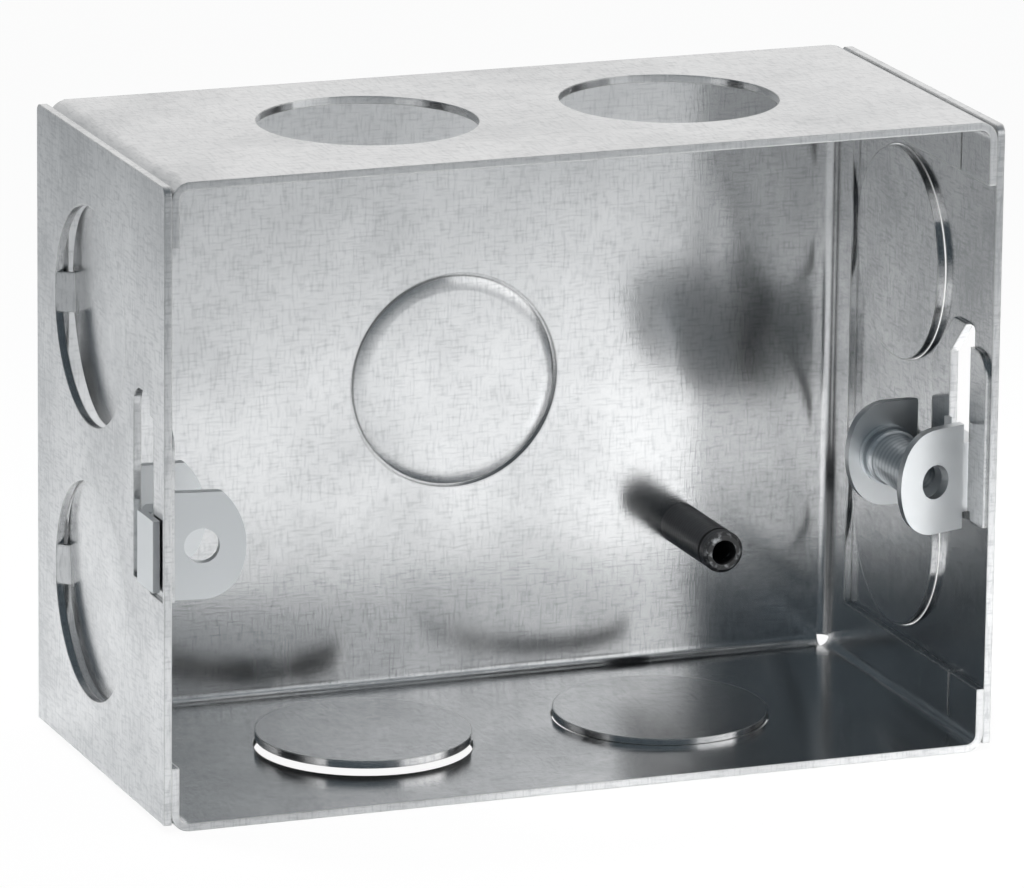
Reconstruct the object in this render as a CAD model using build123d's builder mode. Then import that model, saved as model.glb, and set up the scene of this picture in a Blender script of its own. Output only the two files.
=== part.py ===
"""A folded steel back box for wiring accessories, with sliding fixing lugs.

The origin is at the middle of the footprint, on the face that the box stands on.
X runs along the width, the open front faces -Y and Z points up. Sizes are in millimetres.
"""
from build123d import *
from math import radians, tan
import os

# The box
width = 100.0
height = 74.0
depth = 45.5
sheet = 0.9
bend_outside = 2.1
top_flange = 7.4
back_flange = 6.4
corner_relief = 2.0
slit_width = 0.4
slit_from_front = 7.8
plate_short_at_top = 0.5
plate_short_at_base = 0.9
plate_short_at_back = 0.4
plate_corner = 1.0

# The knock-outs
knockout_radius = 12.6
disc_clearance = 0.12
tab_width = 4.6
tab_root = 0.9
top_knockout_offset = 18.25
side_knockout_from_front = 26.0
side_knockout_offset = 16.0
back_knockout_radius = 12.8
back_knockout_across = 0.7
groove_width = 0.35
groove_depth = 0.55
groove_round_width = 1.7
groove_round_depth = 0.24

# How far each disc is pushed in at its middle, and how much further at its tab and at its side
base_left_middle = 1.8
base_left_tab = 0.1
base_right_middle = 0.95
base_right_tab = 0.2
left_upper_middle = 1.2
left_upper_tab = 0.9
left_upper_side = -0.4
left_lower_middle = 0.9
left_lower_tab = 0.5
left_lower_side = -0.5
right_upper_middle = 0.7
right_upper_tab = -0.3
right_lower_middle = 0.65
right_lower_tab = -0.3

# The slots that the lugs slide in, measured back from the front edge and up from the base
slot_front = 4.9
slot_width = 5.7
slot_bottom = 27.0
slot_height = 22.0
slot_round = 2.3
slot_slant = 4.2
slot_small_round = 0.6

# The low pads pressed inwards beside each slot, which leave a recess outside for the lug's lip
pad_height = 0.5
recess_depth = 0.4
pad_drop = 0.6
pad_from_front = 0.5
pad_round = 3.0
pad_below_slot_top = 2.3
pad_back_width = 5.0
pad_back_shoulder = 5.6

# The lugs, measured inwards from the inner face of a side plate and back from the front edge
lug_sheet = 1.2
lug_play = 0.18
ear_face = 5.6
ear_reach = 10.0
ear_height = 12.3
ear_middle = 31.4
ear_flat = 7.4
ear_round = 4.6
ear_edge_gap = 1.0
ear_trim = 1.0
left_ear_splay = 10.0
right_ear_splay = 19.0
neck_height = 8.2
neck_line = -0.3
lug_bend = 1.3
rear_ear_bend = 0.8
joggle_from = 7.8
joggle_to = 10.8
back_web_line = 1.7
back_web_height = 1.9
back_web_from = 9.5
rear_ear_edge_gap = 1.4
rear_ear_face = 17.4
lug_hole_inwards = 5.2
lug_hole_radius = 2.0
lip_sheet = 0.8
left_lip_overlap = 2.7
right_lip_overlap = 2.1
left_lip_neck_back = 7.6
right_lip_neck_back = 8.8

# The turned sleeve between the ears of the right lug
sleeve_radius = 3.0
sleeve_collar_radius = 3.5
sleeve_collar_length = 1.1
sleeve_collar_step = 0.5
sleeve_groove = 0.25
sleeve_bore_radius = 1.6
sleeve_spigot_radius = 2.9
sleeve_spigot_play = 0.05
sleeve_front_gap = 0.3
sleeve_seat_gap = 0.02

# The hollow earth post on the back wall
post_across = 29.4
post_up = 17.2
post_radius = 2.5
post_length = 13.6
post_bore_radius = 1.5
post_bore_depth = 10.0
post_chamfer = 0.45
post_groove_back = 1.5
post_groove_width = 0.5
post_groove_depth = 0.25
post_spigot_radius = 1.6
post_spigot_play = 0.05

front = -depth / 2
back = depth / 2
inner_wall = width / 2 - sheet
tray_width = width - 2 * sheet
disc_radius = knockout_radius - disc_clearance
middle_height = height / 2
side_knockout_y = front + side_knockout_from_front
slot_back = slot_front + slot_width
slot_top = slot_bottom + slot_height


def face_plane(point, inwards, towards_tab):
    """A plane on a sheet's outer face: z points into the box and x points to the tab."""
    return Plane(origin=point, x_dir=towards_tab, z_dir=inwards)


def knockout_hole(plane):
    """Punches one round opening through the sheet that the plane lies on."""
    with BuildSketch(plane.offset(-sheet)) as opening:
        Circle(knockout_radius)
    extrude(opening.sketch, amount=3 * sheet, mode=Mode.SUBTRACT)


def pushed_disc(plane, middle_push, tab_push, side_push=0.0):
    """Adds the disc of a knock-out, pushed into the box and still held by one bent tab.

    middle_push is how far the disc's middle has moved in. tab_push and side_push are how
    much further its edge has moved at the tab and a quarter turn on from it.
    """
    lean = plane.x_dir * (tab_push / disc_radius) + plane.y_dir * (side_push / disc_radius)
    middle = plane.origin + plane.z_dir * middle_push
    tilted = Plane(origin=middle, x_dir=plane.x_dir, z_dir=plane.z_dir - lean)
    with BuildSketch(tilted) as disc:
        Circle(disc_radius)
    extrude(disc.sketch, amount=sheet)

    at_edge = middle_push + tab_push
    slope_start = knockout_radius - 0.1 * tab_root
    slope_end = disc_radius - 1.4 * tab_root
    disc_end = slope_end - tab_root
    along = tab_push / disc_radius
    section = Plane(origin=plane.origin, x_dir=plane.x_dir, z_dir=plane.z_dir.cross(plane.x_dir))
    # In this plane x runs to the tab and y runs out of the box, so pushes count as minus.
    edge = -(at_edge - along * (disc_radius - slope_end))
    end = -(at_edge - along * (disc_radius - disc_end))
    with BuildSketch(section.offset(-tab_width / 2)) as tab:
        with BuildLine():
            Polyline(
                (knockout_radius + tab_root, 0),
                (slope_start, 0),
                (slope_end, edge),
                (disc_end, end),
                (disc_end, end - sheet),
                (slope_end, edge - sheet),
                (slope_start, -sheet),
                (knockout_radius + tab_root, -sheet),
                close=True,
            )
        make_face()
    extrude(tab.sketch, amount=tab_width)


# One sheet folded into the back, top and bottom, with a flange at each end of each wall
with BuildPart() as tray:
    with Locations((0, 0, middle_height)):
        Box(tray_width, depth, height)
    hull = tray.part
    along_y = list(hull.edges().filter_by(Axis.Y))
    back_face = hull.faces().sort_by(Axis.Y)[-1]
    fillet(along_y + list(back_face.edges()), radius=bend_outside)
    offset(amount=-sheet, openings=tray.faces().sort_by(Axis.Y)[0])

    # The window in each end wall leaves only the flanges.
    with BuildSketch(Plane.YZ.offset(-tray_width)):
        with Locations((-back_flange / 2 - sheet / 2, middle_height)):
            Rectangle(depth - back_flange + sheet, height - 2 * top_flange)
    extrude(amount=2 * tray_width, mode=Mode.SUBTRACT)

    # The corners at the back are cut away so that the three flanges can fold.
    with Locations(*[(x, back, z) for x in (-tray_width / 2, tray_width / 2) for z in (0, height)]):
        Box(2 * corner_relief, 2 * corner_relief, 2 * corner_relief, mode=Mode.SUBTRACT)

    # A slit divides each top and bottom flange near the front.
    slit_height = top_flange - bend_outside
    slit_y = front + slit_from_front + slit_width / 2
    slit_low = bend_outside + slit_height / 2
    with Locations((0, slit_y, slit_low), (0, slit_y, height - slit_low)):
        Box(2 * tray_width, slit_width, slit_height, mode=Mode.SUBTRACT)

    # Both knock-outs in the top are open.
    for x in (-top_knockout_offset, top_knockout_offset):
        knockout_hole(face_plane((x, 0, height), (0, 0, -1), (0, 1, 0)))

    # Both discs in the bottom are pushed up and hang on their tabs.
    left_base = face_plane((-top_knockout_offset, 0, 0), (0, 0, 1), (0, 1, 0))
    right_base = face_plane((top_knockout_offset, 0, 0), (0, 0, 1), (0, 1, 0))
    knockout_hole(left_base)
    pushed_disc(left_base, base_left_middle, base_left_tab)
    knockout_hole(right_base)
    pushed_disc(right_base, base_right_middle, base_right_tab)

    # The disc in the back is only scored: a groove runs round it, and its rim curves down to that.
    inside_back = Plane(origin=(back_knockout_across, back - sheet, middle_height), z_dir=(0, -1, 0))
    with BuildSketch(Plane(origin=inside_back.origin, x_dir=(1, 0, 0), z_dir=(0, 0, 1))):
        outer = back_knockout_radius
        inner = back_knockout_radius - groove_width
        flat = inner - groove_round_width
        with BuildLine():
            TangentArc((flat, 0), (inner, groove_round_depth), tangent=(1, 0))
            Polyline(
                (inner, groove_round_depth),
                (inner, groove_depth),
                (outer, groove_depth),
                (outer, -sheet),
                (flat, -sheet),
                (flat, 0),
            )
        make_face()
    revolve(axis=Axis(inside_back.origin, (0, 1, 0)), mode=Mode.SUBTRACT)

    # The hole that the earth post is riveted into.
    with Locations(Plane(origin=(post_across, back, post_up), z_dir=(0, 1, 0))):
        Hole(post_spigot_radius + post_spigot_play, depth=2 * sheet)
tray.part.label = "tray"


def slot_outline(slanted):
    """The slot in a side plate, drawn with x back from the front edge and y up."""
    middle = (slot_front + slot_width / 2, slot_bottom + slot_height / 2)
    with BuildSketch() as outline:
        with Locations(middle):
            Rectangle(slot_width, slot_height)
        top_corners = outline.vertices().group_by(Axis.Y)[-1].sort_by(Axis.X)
        fillet(top_corners[0], radius=slot_small_round)
        back_corner = outline.vertices().group_by(Axis.Y)[-1].sort_by(Axis.X)[-1]
        if slanted:
            chamfer(back_corner, length=slot_slant)
        else:
            fillet(back_corner, radius=slot_round)
    return outline.sketch


def pad_outline(slanted):
    """The pads beside a slot, drawn as slot_outline is: one in front, and one behind if slanted."""
    low = slot_bottom - pad_drop
    with BuildSketch() as outline:
        pad_top = slot_top - pad_below_slot_top
        pad_width = slot_front - pad_from_front
        with Locations((pad_from_front + pad_width / 2, (low + pad_top) / 2)):
            Rectangle(pad_width, pad_top - low)
        corner = outline.vertices().group_by(Axis.Y)[-1].sort_by(Axis.X)[0]
        fillet(corner, radius=pad_round)
        if slanted:
            far = slot_back + pad_back_width
            with BuildLine():
                Polyline(
                    (slot_back, low),
                    (far, low),
                    (far, slot_top - pad_back_shoulder),
                    (far - pad_back_shoulder, slot_top),
                    (slot_back - slot_slant, slot_top),
                    (slot_back, slot_top - slot_slant),
                    close=True,
                )
            make_face()
    return outline.sketch


def side_plate(name, side, slanted, upper_push, lower_push):
    """A flat plate welded over the flanges at one end, with its slot and two knock-outs.

    side is -1 for the left plate and +1 for the right one. The pushes of the upper and the
    lower disc are given as pushed_disc takes them.
    """
    # On this plane x runs back from the front edge, y runs up and z points into the box
    # on the left plate and out of it on the right one.
    outside = Plane(origin=(side * width / 2, front, 0), x_dir=(0, 1, 0), z_dir=(1, 0, 0))
    inwards = -side
    with BuildPart() as plate:
        plate_depth = depth - plate_short_at_back
        plate_height = height - plate_short_at_top - plate_short_at_base
        with BuildSketch(outside) as blank:
            with Locations((plate_depth / 2, plate_short_at_base + plate_height / 2)):
                Rectangle(plate_depth, plate_height)
            back_corners = blank.vertices().group_by(Axis.Y)[-1]
            fillet(back_corners, radius=plate_corner)
        extrude(amount=inwards * sheet)

        # The pads stand on the inner face, and a recess of the same outline lies outside.
        pads = pad_outline(slanted)
        with BuildSketch(outside.offset(inwards * sheet)) as raised:
            add(pads)
        extrude(raised.sketch, amount=inwards * pad_height)
        with BuildSketch(outside) as recess:
            add(pads)
        extrude(recess.sketch, amount=inwards * recess_depth, mode=Mode.SUBTRACT)

        with BuildSketch(outside) as slot:
            add(slot_outline(slanted))
        extrude(slot.sketch, amount=inwards * 3 * sheet, mode=Mode.SUBTRACT)

        heights = (middle_height + side_knockout_offset, middle_height - side_knockout_offset)
        for z, push in zip(heights, (upper_push, lower_push)):
            disc_plane = face_plane((side * width / 2, side_knockout_y, z), (inwards, 0, 0), (0, 1, 0))
            knockout_hole(disc_plane)
            pushed_disc(disc_plane, *push)
    plate.part.label = name
    return plate.part


# A quarter turn on from the tab is up on the left plate and down on the right one.
left_side_plate = side_plate(
    "left_side_plate", -1, False,
    (left_upper_middle, left_upper_tab, left_upper_side),
    (left_lower_middle, left_lower_tab, left_lower_side))
right_side_plate = side_plate(
    "right_side_plate", 1, True,
    (right_upper_middle, right_upper_tab), (right_lower_middle, right_lower_tab))


def ear_outline(sharp_top):
    """An ear seen from the front, with its neck: x runs inwards and y up from its middle."""
    half = ear_height / 2
    neck_low = slot_bottom + lug_play - ear_middle
    neck_high = neck_low + neck_height
    with BuildSketch() as outline:
        with BuildLine():
            Polyline((ear_edge_gap, -half), (ear_edge_gap, half), (ear_flat, half))
            ThreePointArc((ear_flat, half), (ear_reach, 0), (ear_flat, -half))
            Line((ear_flat, -half), (ear_edge_gap, -half))
        make_face()
        tips = outline.vertices().sort_by(Axis.X)[-2:].sort_by(Axis.Y)
        fillet(tips if not sharp_top else tips[0:1], radius=ear_round)
        with Locations((0, (neck_low + neck_high) / 2)):
            Rectangle(2 * ear_edge_gap + 2 * lug_sheet, neck_height)
    return outline.sketch


def lug(name, side, splay, sharp_top, rear_hole_radius, neck_back, lip_end):
    """A bent lug that slides in one slot: front ear, neck, joggled web and rear ear."""
    def plan(inwards, backwards):
        return (side * (inner_wall - inwards), front + backwards)

    half_sheet = lug_sheet / 2
    ear_line = ear_face + half_sheet
    tip_forwards = (ear_reach + ear_trim - neck_line) * tan(radians(splay))
    with BuildPart() as body:
        with BuildSketch(Plane.XY.offset(ear_middle - ear_height / 2)):
            with BuildLine() as path:
                FilletPolyline(
                    plan(ear_reach + ear_trim, ear_line - tip_forwards),
                    plan(neck_line, ear_line),
                    plan(neck_line, joggle_from),
                    plan(back_web_line, joggle_to),
                    plan(back_web_line, rear_ear_face + half_sheet),
                    plan(ear_reach + ear_trim, rear_ear_face + half_sheet),
                    radius=(lug_bend, lug_bend, lug_bend, rear_ear_bend),
                )
            trace(path.line, line_width=lug_sheet)
        extrude(amount=ear_height)

        # The front view trims both ears to their outline and the web to the neck's height.
        view = Plane(origin=(side * inner_wall, front, ear_middle), x_dir=(1, 0, 0), z_dir=(0, -1, 0))
        outline = ear_outline(sharp_top)
        if side > 0:
            outline = mirror(outline, about=Plane.YZ)
        with BuildSketch(view) as trimmed:
            add(outline)
        extrude(trimmed.sketch, amount=depth, both=True, mode=Mode.INTERSECT)

        # Behind the slot the web is only a low strip, so that it passes under the discs.
        strip_top = slot_bottom + lug_play + back_web_height
        with BuildSketch(Plane.XY.offset(strip_top)) as above_strip:
            with BuildLine():
                Polyline(
                    plan(-lug_sheet, back_web_from),
                    plan(back_web_line + lug_sheet + lug_bend, back_web_from),
                    plan(back_web_line + lug_sheet + lug_bend, rear_ear_face),
                    plan(rear_ear_edge_gap, rear_ear_face),
                    plan(rear_ear_edge_gap, rear_ear_face + 2 * lug_sheet),
                    plan(-lug_sheet, rear_ear_face + 2 * lug_sheet),
                    close=True,
                )
            make_face()
        extrude(above_strip.sketch, amount=height, mode=Mode.SUBTRACT)

        # The front ear is punched before it is bent, so its hole leans with it.
        hole_inwards = plan(lug_hole_inwards, 0)[0]
        lean = tan(radians(splay))
        hole_line = ear_line - (lug_hole_inwards - neck_line) * lean
        through_front = Plane(
            origin=(hole_inwards, front + hole_line, ear_middle), z_dir=(side * lean, -1, 0))
        with BuildSketch(through_front) as screw_hole:
            Circle(lug_hole_radius)
        extrude(screw_hole.sketch, amount=2 * lug_sheet, both=True, mode=Mode.SUBTRACT)
        through_rear = Plane(
            origin=(hole_inwards, front + rear_ear_face, ear_middle), z_dir=(0, -1, 0))
        with BuildSketch(through_rear) as rear_hole:
            Circle(rear_hole_radius)
        extrude(rear_hole.sketch, amount=2 * lug_sheet, both=True, mode=Mode.SUBTRACT)

        # The lip outside the plate keeps the lug in its slot.
        lip_in = sheet - recess_depth + lug_play
        lip_out = lip_in + lip_sheet
        neck_front = neck_back - lug_sheet
        low, high = min(lip_end, neck_front), max(lip_end, neck_back)
        with BuildSketch(Plane.XY.offset(slot_bottom + lug_play)) as lip:
            with Locations(plan((neck_line - lip_out) / 2, (neck_front + neck_back) / 2)):
                Rectangle(lip_out + neck_line, lug_sheet)
            with Locations(plan(-(lip_in + lip_out) / 2, (low + high) / 2)):
                Rectangle(lip_sheet, high - low)
        extrude(lip.sketch, amount=neck_height)
    body.part.label = name
    return body.part


left_lug = lug(
    "left_lug", -1, left_ear_splay, True, lug_hole_radius,
    left_lip_neck_back, slot_front - left_lip_overlap)
right_lug = lug(
    "right_lug", 1, right_ear_splay, False, sleeve_spigot_radius + sleeve_spigot_play,
    right_lip_neck_back, slot_back + right_lip_overlap)

# The sleeve sits on the rear ear of the right lug, in line with its holes.
sleeve_y = front + rear_ear_face - sleeve_seat_gap
sleeve_length = rear_ear_face - ear_face - lug_sheet - sleeve_front_gap
with BuildPart() as sleeve:
    with BuildSketch(Plane.XZ):
        with BuildLine():
            Polyline(
                (sleeve_bore_radius, -lug_sheet),
                (sleeve_spigot_radius, -lug_sheet),
                (sleeve_spigot_radius, 0),
                (sleeve_collar_radius, 0),
                (sleeve_collar_radius, sleeve_collar_length),
                (sleeve_radius, sleeve_collar_length),
                (sleeve_radius, sleeve_collar_length + sleeve_collar_step),
                (sleeve_collar_radius - sleeve_groove, sleeve_collar_length + sleeve_collar_step),
                (sleeve_collar_radius - sleeve_groove, 2 * sleeve_collar_length),
                (sleeve_radius, 2 * sleeve_collar_length + sleeve_groove),
                (sleeve_radius, sleeve_length - sleeve_groove),
                (sleeve_radius - sleeve_groove, sleeve_length),
                (sleeve_bore_radius, sleeve_length),
                close=True,
            )
        make_face()
    revolve(axis=Axis.Z)
sleeve_seat = (inner_wall - lug_hole_inwards, sleeve_y, ear_middle)
seat = Plane(origin=sleeve_seat, x_dir=(1, 0, 0), z_dir=(0, -1, 0))
right_lug_sleeve = sleeve.part.moved(seat.location)
right_lug_sleeve.label = "right_lug_sleeve"

# The earth post stands on the inner face of the back, with its spigot in the hole.
with BuildPart() as post:
    with BuildSketch(Plane.XZ):
        groove = post_length - post_groove_back
        with BuildLine():
            Polyline(
                (0, -sheet),
                (post_spigot_radius, -sheet),
                (post_spigot_radius, 0),
                (post_radius, 0),
                (post_radius, groove - post_groove_width),
                (post_radius - post_groove_depth, groove - post_groove_width),
                (post_radius - post_groove_depth, groove),
                (post_radius, groove),
                (post_radius, post_length - post_chamfer),
                (post_radius - post_chamfer, post_length),
                (post_bore_radius, post_length),
                (post_bore_radius, post_length - post_bore_depth),
                (0, post_length - post_bore_depth - post_bore_radius / 2),
                close=True,
            )
        make_face()
    revolve(axis=Axis.Z)
post_seat = Plane(origin=(post_across, back - sheet, post_up), x_dir=(1, 0, 0), z_dir=(0, -1, 0))
earth_post = post.part.moved(post_seat.location)
earth_post.label = "earth_post"

os.makedirs("parts", exist_ok=True)
pieces = [tray.part, left_side_plate, right_side_plate]
pieces += [left_lug, right_lug, right_lug_sleeve, earth_post]
for piece in pieces:
    export_step(piece, f"parts/{piece.label}.step")
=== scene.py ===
"""Dresses the metal back box: galvanised sheet, zinc-plated lugs and a black earth post."""

import bpy
from mathutils import Matrix, Vector


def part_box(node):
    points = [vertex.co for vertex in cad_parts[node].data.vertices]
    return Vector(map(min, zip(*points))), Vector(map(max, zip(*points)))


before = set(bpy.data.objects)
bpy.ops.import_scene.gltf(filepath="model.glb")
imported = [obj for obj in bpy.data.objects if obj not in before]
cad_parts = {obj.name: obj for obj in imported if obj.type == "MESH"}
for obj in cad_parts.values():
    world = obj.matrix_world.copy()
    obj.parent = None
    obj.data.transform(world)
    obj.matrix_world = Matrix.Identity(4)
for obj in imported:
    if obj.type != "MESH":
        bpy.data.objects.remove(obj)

bl_info = {
    "name": "Metal Back Box",
    "version": (1, 0, 0),
    "blender": (4, 5, 0),
    "location": "View3D > Sidebar > Back Box",
    "description": "Finishes for a galvanised steel back box, with its studio",
    "category": "Object",
}

# Bands of the wave texture at scale 1 are this far apart, so this over a pitch gives its scale.
WAVE_BAND = 0.314
# A mark in a noise texture is about half a cell wide, so this over its width gives the scale.
NOISE_FEATURE = 0.5
MM_PER_M = 1000.0


def linear(hex_colour):
    """Turns an sRGB hex colour into the linear values that Blender works with."""
    values = [int(hex_colour[i:i + 2], 16) / 255 for i in (1, 3, 5)]
    return [v / 12.92 if v <= 0.04045 else ((v + 0.055) / 1.055) ** 2.4 for v in values] + [1.0]


def add_node(tree, kind, inputs, **settings):
    """Adds one node, sets its settings, and links or sets each named input."""
    node = tree.nodes.new(kind)
    for name, value in settings.items():
        setattr(node, name, value)
    for name, value in inputs.items():
        if isinstance(value, bpy.types.NodeSocket):
            tree.links.new(value, node.inputs[name])
        else:
            node.inputs[name].default_value = value
    return node


def new_material(name):
    """Makes an empty material and returns it with its node tree and its place in millimetres."""
    material = bpy.data.materials.new(name)
    material.use_nodes = True
    tree = material.node_tree
    tree.nodes.clear()
    place = add_node(tree, "ShaderNodeTexCoord", {})
    in_mm = add_node(tree, "ShaderNodeVectorMath",
                     {0: place.outputs["Object"], 1: (MM_PER_M,) * 3}, operation="MULTIPLY")
    return material, tree, in_mm.outputs[0]


def finish_shader(tree, inputs):
    """Adds the surface shader and the output that it feeds."""
    shader = add_node(tree, "ShaderNodeBsdfPrincipled", inputs)
    add_node(tree, "ShaderNodeOutputMaterial", {"Surface": shader.outputs["BSDF"]})


def give(node, material):
    """Puts a material on every slot of a node's own mesh."""
    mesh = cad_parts[node].data
    mesh.materials.clear()
    mesh.materials.append(material)


class BackBoxSheet(bpy.types.PropertyGroup):
    zinc: bpy.props.StringProperty(
        name="Zinc", description="Colour of the zinc coat", default="#E2E2E2")
    zinc_dull: bpy.props.StringProperty(
        name="Dull zinc", description="Colour where the coat has dulled", default="#BEBFC0")
    # Also the colour of the painted highlight laid along every edge and crease, not only the cut
    # ones.
    cut_edge_and_highlight: bpy.props.StringProperty(
        name="Sheared edge", description="Colour of the sheet's bare cut edges", default="#ECECEA")
    spangle: bpy.props.FloatProperty(
        name="Spangle", description="Width of one zinc crystal, in millimetres", default=4.0,
        min=0.5)
    streak: bpy.props.FloatProperty(
        name="Streak", description="Width of one rolling streak, in millimetres", default=0.15,
        min=0.05)
    smudge: bpy.props.FloatProperty(
        name="Smudge", description="Width of one handling smudge, in millimetres", default=16.0,
        min=1.0)
    roughness: bpy.props.FloatProperty(
        name="Roughness", description="Roughness of the clean coat", default=0.15, min=0.0, max=1.0)
    drawn_out: bpy.props.FloatProperty(
        name="Drawn out", description="How much the rolling draws reflections out across it",
        default=0.7, min=0.0, max=1.0)
    edge: bpy.props.FloatProperty(
        name="Edge", description="Radius that edges and creases look rounded to, in millimetres",
        default=0.3, min=0.0)


class BackBoxFixings(bpy.types.PropertyGroup):
    plate: bpy.props.StringProperty(
        name="Zinc plate", description="Colour of the plated lugs", default="#E0E2E3")
    sleeve: bpy.props.StringProperty(
        name="Sleeve", description="Colour of the turned sleeve", default="#EDF0F2")
    # Painted shade: the darker colour laid in the valleys between the sleeve's rings.
    sleeve_valley_shade: bpy.props.StringProperty(
        name="Sleeve valleys", description="Colour between the sleeve's rings", default="#D3D8DB")
    pitch: bpy.props.FloatProperty(
        name="Pitch", description="Distance between the sleeve's rings, in millimetres",
        default=0.9, min=0.1)
    post: bpy.props.StringProperty(
        name="Post", description="Colour of the black post", default="#333334")
    post_worn: bpy.props.StringProperty(
        name="Worn post", description="Colour of the bare steel at the post's mouth",
        default="#B9BBBC")
    turning: bpy.props.FloatProperty(
        name="Turning", description="Distance between the post's turning rings, in millimetres",
        default=0.6, min=0.1)
    grain: bpy.props.FloatProperty(
        name="Grain", description="Width of one brushed line on the strip, in millimetres",
        default=0.15, min=0.02)


class BackBoxStage(bpy.types.PropertyGroup):
    floor: bpy.props.StringProperty(
        name="Floor", description="Colour of the floor and the backdrop", default="#FFFFFF")
    room: bpy.props.StringProperty(
        name="Room", description="Colour of the dim room in front", default="#5A646B")
    tent: bpy.props.StringProperty(
        name="Tent", description="Colour of the light tent behind", default="#F6F6F6")
    lens: bpy.props.FloatProperty(
        name="Lens", description="Focal length of the camera", default=314.2, unit="CAMERA")
    front_pool: bpy.props.FloatProperty(
        name="Front pool", description="Power of the soft-edged lamp over the front", default=83.0,
        unit="POWER")
    back_pool: bpy.props.FloatProperty(
        name="Back pool", description="Power of the soft-edged lamp over the back", default=33.0,
        unit="POWER")
    card: bpy.props.FloatProperty(
        name="Card", description="Power of the glowing card in front on the right", default=0.62,
        unit="POWER")


def aimed(name, lamp, place, target):
    """Adds a lamp to the scene at one place, pointed at another."""
    lamp_object = bpy.data.objects.new(name, lamp)
    lamp_object.location = place
    aim = Vector(target) - Vector(place)
    lamp_object.rotation_euler = aim.to_track_quat("-Z", "Y").to_euler()
    bpy.context.scene.collection.objects.link(lamp_object)
    return lamp_object


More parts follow.
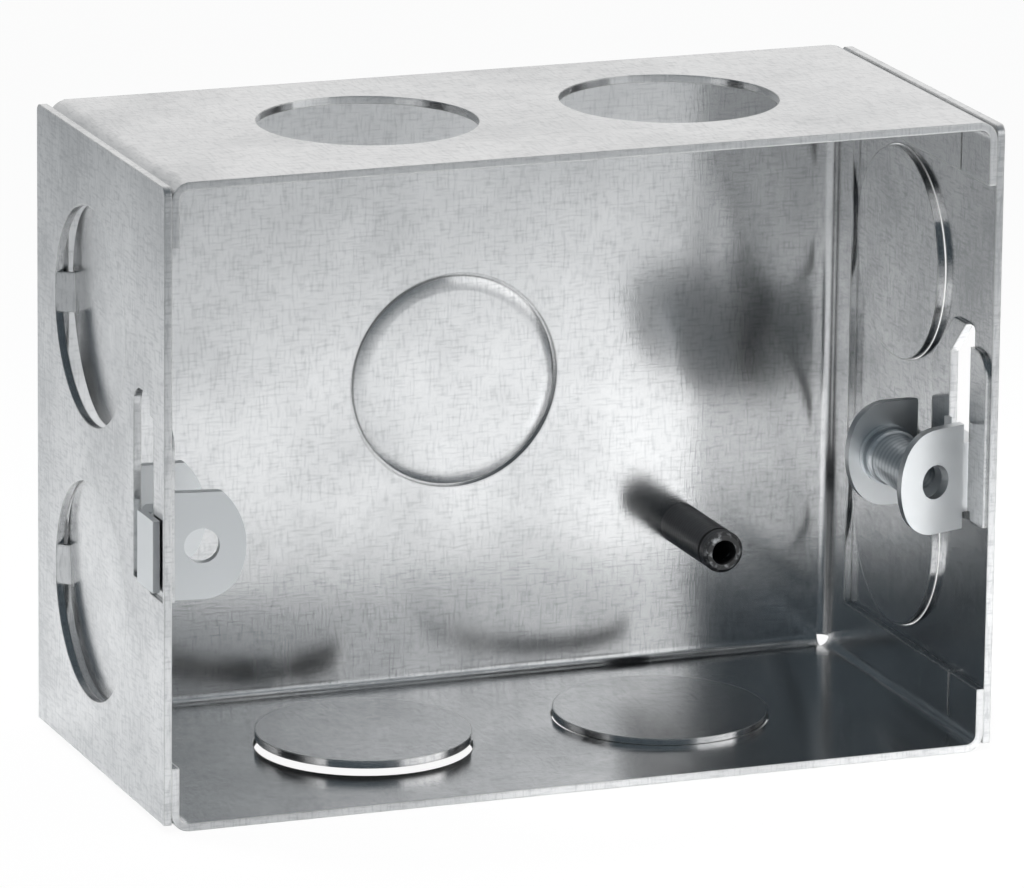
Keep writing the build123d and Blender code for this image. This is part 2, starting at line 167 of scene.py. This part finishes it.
def galvanised_sheet(look, rolled, handled):
    """Makes the sheet's material, with its reflections drawn out across the rolling direction.

    handled makes the streaks and smudges stronger, from 1 for sheet straight off the coil.
    """
    # Hot-dip galvanised steel, rolled and skin-passed. The zinc gives a satin, slightly
    # blue grey mirror with faint crystals, and short streaks that cross like linen.
    material, tree, place = new_material("galvanised_steel_skin_passed")
    bend = add_node(tree, "ShaderNodeTexNoise",
                    {"Vector": place, "Scale": 1 / look.spangle, "Detail": 2.0})
    bent = add_node(tree, "ShaderNodeVectorMath",
                    {0: bend.outputs["Color"], 1: (2.0, 2.0, 2.0), 2: place},
                    operation="MULTIPLY_ADD")
    crystals = add_node(tree, "ShaderNodeTexVoronoi",
                        {"Vector": bent.outputs[0], "Scale": 1 / look.spangle},
                        feature="F1")
    crystal = add_node(tree, "ShaderNodeSeparateColor", {"Color": crystals.outputs["Color"]})

    # One set of streaks runs along each axis, and fades out on the faces that the axis pierces,
    # so every wall shows two that cross. They are 0.05 mm wide on the real sheet, and are drawn
    # wider so that they show.
    surface = add_node(tree, "ShaderNodeNewGeometry", {})
    facing = add_node(tree, "ShaderNodeVectorMath", {0: surface.outputs["Normal"]},
                      operation="ABSOLUTE")
    square = add_node(tree, "ShaderNodeSeparateXYZ", {"Vector": facing.outputs[0]})
    linen = None
    slim = 0.16
    for axis, squeeze in (("X", (slim, 1.0, 1.0)), ("Y", (1.0, slim, 1.0)),
                          ("Z", (1.0, 1.0, slim))):
        drawn = add_node(tree, "ShaderNodeVectorMath", {0: place, 1: squeeze}, operation="MULTIPLY")
        lines = add_node(tree, "ShaderNodeTexNoise",
                         {"Vector": drawn.outputs[0], "Scale": NOISE_FEATURE / look.streak,
                          "Detail": 1.0})
        sparse = add_node(tree, "ShaderNodeMapRange",
                          {"Value": lines.outputs["Fac"], "From Min": 0.5, "From Max": 0.7})
        seen = add_node(tree, "ShaderNodeMapRange",
                        {"Value": square.outputs[axis], "From Min": 0.3, "From Max": 0.8,
                         "To Min": 1.0, "To Max": 0.0})
        kept = add_node(tree, "ShaderNodeMath",
                        {0: sparse.outputs["Result"], 1: seen.outputs["Result"]},
                        operation="MULTIPLY")
        if linen is None:
            linen = kept.outputs[0]
        else:
            both = add_node(tree, "ShaderNodeMath", {0: linen, 1: kept.outputs[0]},
                            operation="ADD")
            linen = both.outputs[0]

    smudges = add_node(tree, "ShaderNodeTexNoise",
                       {"Vector": place, "Scale": 1 / look.smudge, "Detail": 4.0,
                        "Roughness": 0.6})
    dulled = add_node(tree, "ShaderNodeMapRange",
                      {"Value": smudges.outputs["Fac"], "From Min": 0.4, "From Max": 0.75,
                       "To Min": 0.1, "To Max": 0.6 * handled})
    shade = add_node(tree, "ShaderNodeMath",
                     {0: crystal.outputs["Red"], 1: 0.08, 2: dulled.outputs["Result"]},
                     operation="MULTIPLY_ADD")
    streak_shade = 0.36 * handled
    streaked = add_node(tree, "ShaderNodeMath", {0: linen, 1: streak_shade, 2: shade.outputs[0]},
                        operation="MULTIPLY_ADD")
    colour = add_node(tree, "ShaderNodeMix",
                      {"Factor": streaked.outputs[0], 6: linear(look.zinc),
                       7: linear(look.zinc_dull)}, data_type="RGBA")
    rough = add_node(tree, "ShaderNodeMath",
                     {0: shade.outputs[0], 1: 0.1, 2: look.roughness},
                     operation="MULTIPLY_ADD")

    # Edges are a little rounded, and sheared edges are bare steel: pale and matt. The pale colour
    # goes on every edge and crease that the bevel finds, so it is partly bare cut steel and partly
    # a painted highlight along folds and creases.
    rounded = add_node(tree, "ShaderNodeBevel", {"Radius": look.edge / MM_PER_M}, samples=2)
    turned = add_node(tree, "ShaderNodeVectorMath",
                      {0: rounded.outputs["Normal"], 1: surface.outputs["Normal"]},
                      operation="DOT_PRODUCT")
    cut_edge_and_highlight = add_node(tree, "ShaderNodeMapRange",
                       {"Value": turned.outputs["Value"], "From Min": 0.97, "From Max": 0.8,
                        "To Min": 0.0, "To Max": 0.8})
    pale = add_node(tree, "ShaderNodeMix",
                    {"Factor": cut_edge_and_highlight.outputs["Result"], 6: colour.outputs[2],
                     7: linear(look.cut_edge_and_highlight)}, data_type="RGBA")
    matt = add_node(tree, "ShaderNodeMix",
                    {"Factor": cut_edge_and_highlight.outputs["Result"], 2: rough.outputs[0], 3: 0.5},
                    data_type="FLOAT")
    relief = add_node(tree, "ShaderNodeBump",
                      {"Height": linen, "Strength": 0.07, "Distance": 0.00002,
                       "Normal": rounded.outputs["Normal"]})
    direction = add_node(tree, "ShaderNodeVectorMath",
                         {0: rounded.outputs["Normal"], 1: rolled}, operation="CROSS_PRODUCT")
    finish_shader(tree, {
        "Base Color": pale.outputs[2], "Metallic": 1.0, "Roughness": matt.outputs[0],
        "Anisotropic": look.drawn_out, "Normal": relief.outputs["Normal"],
        "Tangent": direction.outputs[0]})
    return material


class DressSheet(bpy.types.Operator):
    """Gives the folded tray and both end plates their galvanised finish"""
    bl_idname = "back_box.dress_sheet"
    bl_label = "Dress the sheet"

    def execute(self, context):
        look = context.scene.back_box_sheet
        give("tray", galvanised_sheet(look, (1.0, 0.1, 0.1), 1.0))
        plates = galvanised_sheet(look, (0.1, 1.0, 0.1), 1.4)
        give("left_side_plate", plates)
        give("right_side_plate", plates)
        return {"FINISHED"}


class DressLugs(bpy.types.Operator):
    """Gives both sliding lugs their bright zinc plate"""
    bl_idname = "back_box.dress_lugs"
    bl_label = "Dress the lugs"

    def execute(self, context):
        look = context.scene.back_box_fixings
        # Mild steel strip, blanked, bent and bright zinc plated: smooth and lighter than the
        # box, with fine lines along the strip that soften its reflections.
        material, tree, place = new_material("zinc_plated_steel_strip")
        along = add_node(tree, "ShaderNodeVectorMath", {0: place, 1: (0.06, 0.06, 1.0)},
                         operation="MULTIPLY")
        lines = add_node(tree, "ShaderNodeTexNoise",
                         {"Vector": along.outputs[0], "Scale": NOISE_FEATURE / look.grain,
                          "Detail": 3.0})
        rough = add_node(tree, "ShaderNodeMapRange",
                         {"Value": lines.outputs["Fac"], "To Min": 0.34, "To Max": 0.44})
        relief = add_node(tree, "ShaderNodeBump",
                          {"Height": lines.outputs["Fac"], "Strength": 0.05, "Distance": 0.00002})
        finish_shader(tree, {
            "Base Color": linear(look.plate), "Metallic": 1.0, "Roughness": rough.outputs["Result"],
            "Normal": relief.outputs["Normal"]})
        for node in ("left_lug", "right_lug"):
            give(node, material)
        return {"FINISHED"}


class DressSleeve(bpy.types.Operator):
    """Gives the turned sleeve its finish"""
    bl_idname = "back_box.dress_sleeve"
    bl_label = "Dress the sleeve"

    def execute(self, context):
        look = context.scene.back_box_fixings
        # Free-cutting steel, turned, threaded and zinc plated: rings run round it, a pitch apart.
        material, tree, place = new_material("turned_zinc_plated_steel")
        rings = add_node(tree, "ShaderNodeTexWave",
                         {"Vector": place, "Scale": WAVE_BAND / look.pitch, "Distortion": 0.15},
                         wave_type="BANDS", bands_direction="Y")
        # The valleys between the rings, the bump's low points, get the darker colour: painted shade
        # in the grooves.
        shade = add_node(tree, "ShaderNodeMix",
                         {"Factor": rings.outputs["Fac"], 6: linear(look.sleeve_valley_shade),
                          7: linear(look.sleeve)}, data_type="RGBA")
        relief = add_node(tree, "ShaderNodeBump",
                          {"Height": rings.outputs["Fac"], "Strength": 0.2, "Distance": 0.00006})
        finish_shader(tree, {
            "Base Color": shade.outputs[2], "Metallic": 1.0, "Roughness": 0.36,
            "Normal": relief.outputs["Normal"]})
        give("right_lug_sleeve", material)
        return {"FINISHED"}


class DressPost(bpy.types.Operator):
    """Gives the earth post its black finish"""
    bl_idname = "back_box.dress_post"
    bl_label = "Dress the earth post"

    def execute(self, context):
        look = context.scene.back_box_fixings
        # Turned steel, chemically blackened and oiled: near black with a soft gloss, fine
        # turning rings, and bright steel where the mouth's edge has worn.
        material, tree, place = new_material("blackened_turned_steel")
        mottle = add_node(tree, "ShaderNodeTexNoise",
                          {"Vector": place, "Scale": 1.2, "Detail": 3.0})
        rings = add_node(tree, "ShaderNodeTexWave",
                         {"Vector": place, "Scale": WAVE_BAND / look.turning, "Distortion": 0.4},
                         wave_type="BANDS", bands_direction="Y")
        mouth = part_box("earth_post")[0][1] * MM_PER_M
        worn_until = mouth + 0.45
        groove_at = mouth + 1.75
        parts = add_node(tree, "ShaderNodeSeparateXYZ", {"Vector": place})
        near_mouth = add_node(tree, "ShaderNodeMapRange",
                              {"Value": parts.outputs["Y"], "From Min": mouth + 0.05,
                               "From Max": worn_until, "To Min": 1.0, "To Max": 0.0})
        groove = add_node(tree, "ShaderNodeMath",
                          {0: parts.outputs["Y"], 1: groove_at, 2: 0.22}, operation="COMPARE")
        bare = add_node(tree, "ShaderNodeMath",
                        {0: near_mouth.outputs["Result"], 1: groove.outputs[0]},
                        operation="MAXIMUM")
        patchy = add_node(tree, "ShaderNodeMapRange",
                          {"Value": mottle.outputs["Fac"], "From Min": 0.5, "From Max": 0.7})
        worn = add_node(tree, "ShaderNodeMath",
                        {0: bare.outputs[0], 1: patchy.outputs["Result"]}, operation="MULTIPLY")
        colour = add_node(tree, "ShaderNodeMix",
                          {"Factor": worn.outputs[0], 6: linear(look.post),
                           7: linear(look.post_worn)}, data_type="RGBA")
        rough = add_node(tree, "ShaderNodeMapRange",
                         {"Value": mottle.outputs["Fac"], "To Min": 0.25, "To Max": 0.45})
        relief = add_node(tree, "ShaderNodeBump",
                          {"Height": rings.outputs["Fac"], "Strength": 0.15, "Distance": 0.00004})
        finish_shader(tree, {
            "Base Color": colour.outputs[2], "Metallic": worn.outputs[0],
            "Roughness": rough.outputs["Result"], "Normal": relief.outputs["Normal"]})
        give("earth_post", material)
        return {"FINISHED"}


class BuildStage(bpy.types.Operator):
    """Makes the floor, the backdrop, the lamps and the camera"""
    bl_idname = "back_box.build_stage"
    bl_label = "Build the stage"

    def execute(self, context):
        look = context.scene.back_box_stage
        scene = context.scene

        floor_mesh = bpy.data.meshes.new("floor")
        reach = 4.0
        corners = [(-reach, -reach, 0), (reach, -reach, 0), (reach, reach, 0), (-reach, reach, 0)]
        floor_mesh.from_pydata(corners, [], [(0, 1, 2, 3)])
        floor = bpy.data.objects.new("floor", floor_mesh)
        scene.collection.objects.link(floor)
        # Matt white studio paper. The camera sees it nearly white, and it keeps the shadow.
        paper = bpy.data.materials.new("matt_studio_paper")
        paper.use_nodes = True
        tree = paper.node_tree
        tree.nodes.clear()
        matt = add_node(tree, "ShaderNodeBsdfDiffuse", {"Color": linear(look.floor)})
        glow = add_node(tree, "ShaderNodeEmission", {"Color": linear(look.floor), "Strength": 1.0})
        ray = add_node(tree, "ShaderNodeLightPath", {})
        glow_share = 0.95
        share = add_node(tree, "ShaderNodeMath",
                         {0: ray.outputs["Is Camera Ray"], 1: glow_share}, operation="MULTIPLY")
        both = add_node(tree, "ShaderNodeMixShader",
                        {"Fac": share.outputs[0], 1: matt.outputs[0], 2: glow.outputs[0]})
        add_node(tree, "ShaderNodeOutputMaterial", {"Surface": both.outputs[0]})
        floor_mesh.materials.append(paper)

        world = bpy.data.worlds.new("studio")
        world.use_nodes = True
        tree = world.node_tree
        tree.nodes.clear()
        ray = add_node(tree, "ShaderNodeLightPath", {})
        # The room is dim overhead and in front on the left, and the light tent is bright behind
        # on the right.
        heading = add_node(tree, "ShaderNodeTexCoord", {})
        behind = add_node(tree, "ShaderNodeVectorMath",
                          {0: heading.outputs["Generated"], 1: (0.85, 0.5, -0.6)},
                          operation="DOT_PRODUCT")
        tent = add_node(tree, "ShaderNodeMapRange",
                        {"Value": behind.outputs["Value"], "From Min": -0.7, "From Max": 0.5},
                        interpolation_type="SMOOTHSTEP")
        around = add_node(tree, "ShaderNodeMix",
                          {"Factor": tent.outputs["Result"], 6: linear(look.room),
                           7: linear(look.tent)}, data_type="RGBA")
        seen = add_node(tree, "ShaderNodeMix",
                        {"Factor": ray.outputs["Is Camera Ray"], 6: around.outputs[2],
                         7: linear(look.floor)}, data_type="RGBA")
        sky = add_node(tree, "ShaderNodeBackground", {"Color": seen.outputs[2], "Strength": 1.0})
        add_node(tree, "ShaderNodeOutputWorld", {"Surface": sky.outputs[0]})
        scene.world = world

        for name, place, target, cone, power in (
                ("front_pool", (-0.05, -0.25, 1.2), (0.12, -0.03, 0.0), 0.32, look.front_pool),
                ("back_pool", (-0.35, 0.4, 1.2), (-0.13, 0.08, 0.0), 0.42, look.back_pool)):
            lamp = bpy.data.lights.new(name, "SPOT")
            lamp.energy = power
            lamp.shadow_soft_size = 0.12
            lamp.spot_size = cone
            lamp.spot_blend = 1.0
            aimed(name, lamp, place, target).visible_glossy = False
        card = bpy.data.lights.new("front_card", "AREA")
        card.shape = "RECTANGLE"
        card.size = 0.62
        card.size_y = 0.4
        card.energy = look.card
        card_object = aimed("front_card", card, (0.46, -0.46, 0.2), (0.0, 0.0, 0.04))
        card_object.visible_camera = False

        camera_data = bpy.data.cameras.new("camera")
        camera_data.sensor_width = 36.0
        camera_data.lens = look.lens
        camera_data.clip_end = 50.0
        camera = bpy.data.objects.new("camera", camera_data)
        # The camera's place and turn are fitted to corners and circles of the photograph.
        right = Vector((0.9345, -0.3558, 0.0106))
        forward = Vector((0.3466, 0.9027, -0.2548)).normalized()
        right = (right - forward * right.dot(forward)).normalized()
        up = right.cross(forward)
        turn = Matrix((right, up, -forward)).transposed()
        camera.matrix_world = Matrix.Translation((-0.3541, -0.92115, 0.2949)) @ turn.to_4x4()
        scene.collection.objects.link(camera)
        scene.camera = camera
        scene.view_settings.view_transform = "Standard"
        return {"FINISHED"}


class BackBoxPanel(bpy.types.Panel):
    """Lists the steps and their sizes in the sidebar"""
    bl_idname = "VIEW3D_PT_back_box"
    bl_label = "Metal back box"
    bl_space_type = "VIEW_3D"
    bl_region_type = "UI"
    bl_category = "Back Box"

    def draw(self, context):
        for step in STEPS:
            self.layout.operator(step.bl_idname)
        for name in GROUPS:
            group = getattr(context.scene, name)
            box = self.layout.box()
            for key in group.bl_rna.properties.keys():
                if key not in ("rna_type", "name"):
                    box.prop(group, key)


GROUPS = {
    "back_box_sheet": BackBoxSheet,
    "back_box_fixings": BackBoxFixings,
    "back_box_stage": BackBoxStage,
}
STEPS = (DressSheet, DressLugs, DressSleeve, DressPost, BuildStage)


def register():
    for cls in (*GROUPS.values(), *STEPS, BackBoxPanel):
        bpy.utils.register_class(cls)
    for name, group in GROUPS.items():
        setattr(bpy.types.Scene, name, bpy.props.PointerProperty(type=group))


def unregister():
    for name in GROUPS:
        delattr(bpy.types.Scene, name)
    for cls in reversed((*GROUPS.values(), *STEPS, BackBoxPanel)):
        bpy.utils.unregister_class(cls)


def main():
    register()
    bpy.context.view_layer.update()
    bpy.ops.back_box.dress_sheet()
    bpy.ops.back_box.dress_lugs()
    bpy.ops.back_box.dress_sleeve()
    bpy.ops.back_box.dress_post()
    bpy.ops.back_box.build_stage()


if __name__ == "__main__":
    main()
